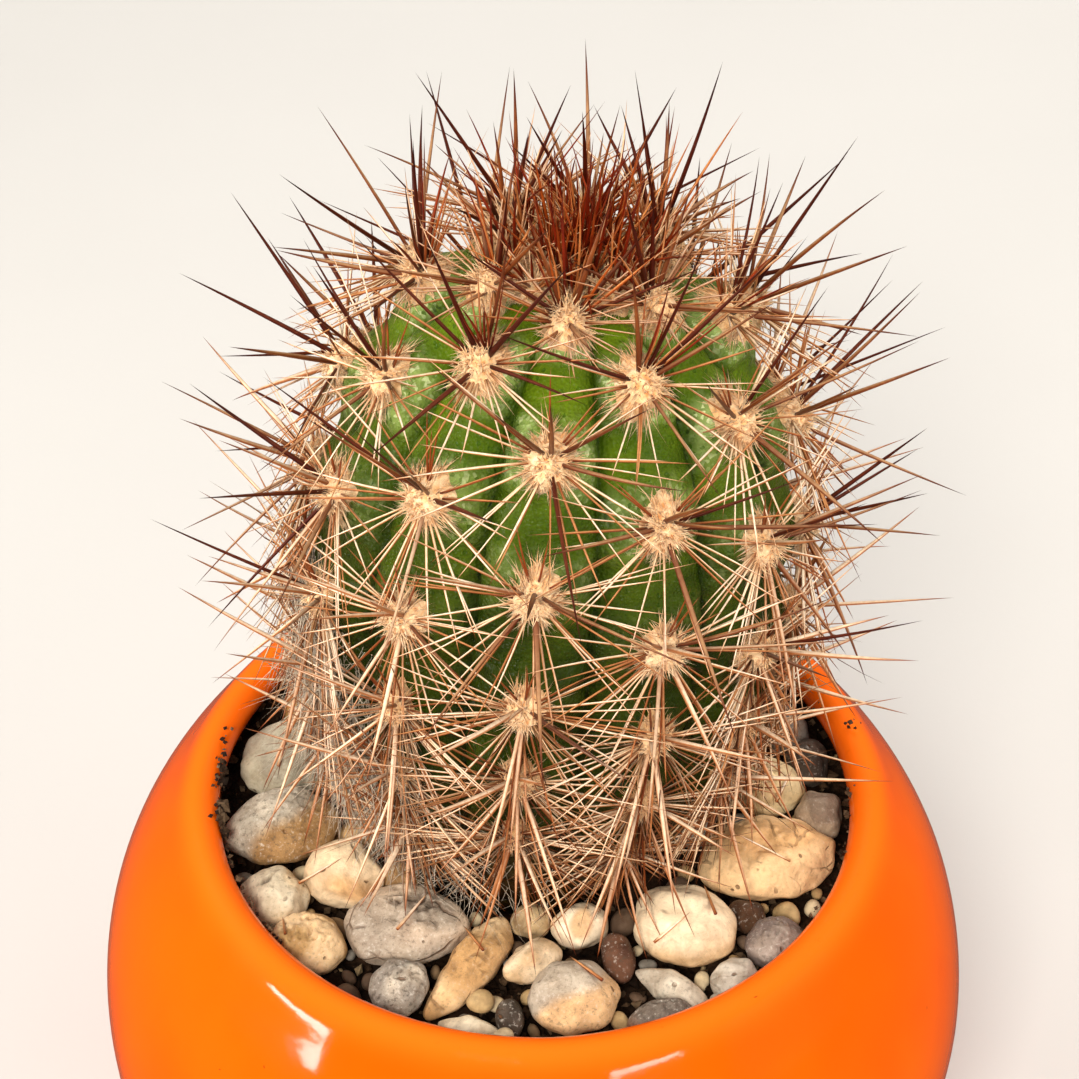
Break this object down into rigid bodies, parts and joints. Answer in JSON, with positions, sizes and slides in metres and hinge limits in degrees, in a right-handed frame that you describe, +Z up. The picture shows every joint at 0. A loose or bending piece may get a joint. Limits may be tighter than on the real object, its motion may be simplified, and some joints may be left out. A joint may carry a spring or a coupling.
{
  "type": "potted round cactus",
  "caption": "Round ribbed cactus with woolly cushions and long spines, in a glazed ball pot of soil under a layer of river pebbles.",
  "frame": {"origin": "centre of the pot's flat foot, on the surface that it stands on", "axes": "+Z up, along the pot's axis and the plant; -Y towards the front of the picture; +X to its right"},
  "size_m": [0.11, 0.11, 0.1653],
  "materials": {
    "pot_glaze": "gloss",
    "soil": "matte",
    "plant": "satin",
    "spine": "satin",
    "wool": "matte",
    "stone_grey": "satin",
    "stone_cream": "satin",
    "stone_tan": "satin",
    "stone_yellow": "satin",
    "stone_brown": "satin"
  },
  "bodies": {
    "root": {"pot": "pot_glaze", "soil": "soil", "cactus": "plant", "pebble_01": "stone_grey", "pebble_02": "stone_grey", "pebble_03": "stone_cream", "pebble_04": "stone_tan", "pebble_05": "stone_tan", "pebble_06": "stone_cream", "pebble_07": "stone_tan", "pebble_08": "stone_grey", "pebble_09": "stone_grey", "pebble_10": "stone_yellow", "pebble_11": "stone_cream", "pebble_12": "stone_tan", "pebble_13": "stone_cream", "pebble_14": "stone_cream", "pebble_15": "stone_tan", "pebble_16": "stone_brown", "pebble_17": "stone_brown", "pebble_18": "stone_grey", "pebble_19": "stone_brown", "pebble_20": "stone_cream", "pebble_21": "stone_cream", "pebble_22": "stone_brown", "pebble_23": "stone_brown", "pebble_24": "stone_yellow", "pebble_25": "stone_cream", "pebble_26": "stone_tan", "pebble_27": "stone_brown", "pebble_28": "stone_grey", "pebble_29": "stone_grey", "pebble_30": "stone_tan", "pebble_31": "stone_tan", "pebble_32": "stone_brown", "pebble_33": "stone_tan", "pebble_34": "stone_yellow", "pebble_35": "stone_cream", "pebble_36": "stone_tan", "pebble_37": "stone_yellow", "pebble_38": "stone_cream", "pebble_39": "stone_tan", "pebble_40": "stone_cream", "pebble_41": "stone_tan", "pebble_42": "stone_yellow", "pebble_43": "stone_tan"}
  },
  "joints": []
}
